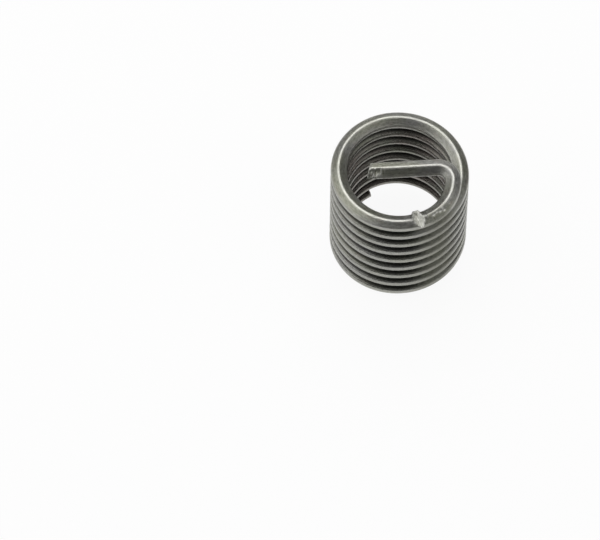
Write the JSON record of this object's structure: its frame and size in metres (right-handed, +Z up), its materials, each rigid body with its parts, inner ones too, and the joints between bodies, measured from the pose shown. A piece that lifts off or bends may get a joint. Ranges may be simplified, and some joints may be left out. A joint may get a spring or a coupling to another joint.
{
  "type": "helical thread insert",
  "caption": "Steel wire of diamond section wound as an open coil that lines a tapped hole, with a drive tang across the bore and a break-off notch.",
  "frame": {"origin": "on the coil's axis, level with the lowest point of the plain end", "axes": "+Z up the coil's axis towards the tang; the tang's bar lies along X and its cut end points to -X"},
  "size_m": [0.0148, 0.0148, 0.0166],
  "materials": {
    "steel_wire": "satin, finely drawn"
  },
  "bodies": {
    "root": {"thread_insert": "steel_wire"}
  },
  "joints": []
}
